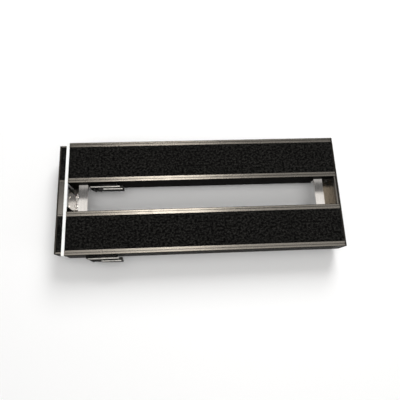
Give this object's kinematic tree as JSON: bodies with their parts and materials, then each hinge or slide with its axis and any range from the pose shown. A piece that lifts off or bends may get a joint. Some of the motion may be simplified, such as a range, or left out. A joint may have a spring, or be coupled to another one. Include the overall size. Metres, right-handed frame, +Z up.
{
  "type": "telescoping pedalboard",
  "caption": "Low telescoping pedalboard: two hook-and-loop topped rails with a cable gap between them, a sliding inner frame and cam lock levers.",
  "frame": {"origin": "on the floor under the middle of the closed board's bounding box", "axes": "+X along the rails away from the open end that the inner frame slides out of, +Y from the front rail to the rear rail, +Z up"},
  "size_m": [0.3694, 0.1584, 0.0383],
  "materials": {
    "rail": "black anodised, with linished grey lips",
    "frame": "satin grey anodised",
    "end_plate": "satin black anodised",
    "crossbar": "bare satin aluminium",
    "loop": "black hook-and-loop pile",
    "glide": "white acetal",
    "lever": "black coated steel, rubbed bright on its top ribs",
    "lock": "black coated pressed steel",
    "shoe": "dark grey urethane",
    "steel": "black zinc screws and steel pins",
    "foot_plate": "black powder coat",
    "rubber": "black rubber",
    "spacer": "black nylon"
  },
  "bodies": {
    "outer_frame": {"outer_rail_front": "rail", "loop_strip_outer_front": "loop", "lock_bracket_front": "lock", "lock_pin_front": "steel", "stop_post_front": "steel", "stop_bumper_front": "rubber", "foot_plate_left_front": "foot_plate", "rubber_foot_left_front": "rubber", "foot_plate_right_front": "foot_plate", "rubber_foot_right_front": "rubber", "outer_rail_rear": "rail", "loop_strip_outer_rear": "loop", "lock_bracket_rear": "lock", "lock_pin_rear": "steel", "stop_post_rear": "steel", "stop_bumper_rear": "rubber", "foot_plate_left_rear": "foot_plate", "rubber_foot_left_rear": "rubber", "foot_plate_right_rear": "foot_plate", "rubber_foot_right_rear": "rubber", "glide_plate": "glide", "glide_plate_screws": "steel", "right_end_plate": "end_plate", "right_end_screws": "steel", "right_end_channel": "frame", "right_channel_screws": "steel", "crossbar_left": "crossbar", "crossbar_right": "crossbar", "crossbar_screws": "steel", "lock_rivets": "steel", "foot_plate_screws": "steel", "rubber_foot_screws": "steel"},
    "inner_frame": {"inner_rail_front": "rail", "loop_strip_inner_front": "loop", "tail_glide_front": "glide", "inner_foot_block_front": "spacer", "inner_rubber_foot_front": "rubber", "inner_rail_rear": "rail", "loop_strip_inner_rear": "loop", "tail_glide_rear": "glide", "inner_foot_block_rear": "spacer", "inner_rubber_foot_rear": "rubber", "left_end_plate": "end_plate", "left_end_screws": "steel", "end_channel": "frame", "channel_rivets": "steel", "tie_bracket": "crossbar", "tie_rivets": "crossbar", "tail_glide_screws": "steel", "inner_foot_screws": "steel"},
    "lock_lever_front_body": {"lock_lever_front": "lever"},
    "lock_shoe_front_body": {"lock_shoe_front": "shoe"},
    "lock_lever_rear_body": {"lock_lever_rear": "lever"},
    "lock_shoe_rear_body": {"lock_shoe_rear": "shoe"}
  },
  "joints": [
    {"name": "extension_slide", "type": "slide", "parent": "outer_frame", "child": "inner_frame", "axis": [-1, 0, 0], "range_m": [0, 0.254]},
    {"name": "lock_lever_front_pivot", "type": "hinge", "parent": "outer_frame", "child": "lock_lever_front_body", "pos_m": [-0.1398, -0.0754, 0.0203], "axis": [0, 0, -1], "range_deg": [0, 80]},
    {"name": "lock_shoe_front_slide", "type": "slide", "parent": "outer_frame", "child": "lock_shoe_front_body", "axis": [0, -1, 0], "range_m": [0, 0.00054]},
    {"name": "lock_lever_rear_pivot", "type": "hinge", "parent": "outer_frame", "child": "lock_lever_rear_body", "pos_m": [-0.1398, 0.0186, 0.0203], "axis": [0, 0, -1], "range_deg": [0, 40]},
    {"name": "lock_shoe_rear_slide", "type": "slide", "parent": "outer_frame", "child": "lock_shoe_rear_body", "axis": [0, -1, 0], "range_m": [0, 0.00027]}
  ],
  "couplings": [
    {"joint": "lock_shoe_front_slide", "follows": "lock_lever_front_pivot", "m_per_rad": 0.00038},
    {"joint": "lock_shoe_rear_slide", "follows": "lock_lever_rear_pivot", "m_per_rad": 0.00038}
  ]
}
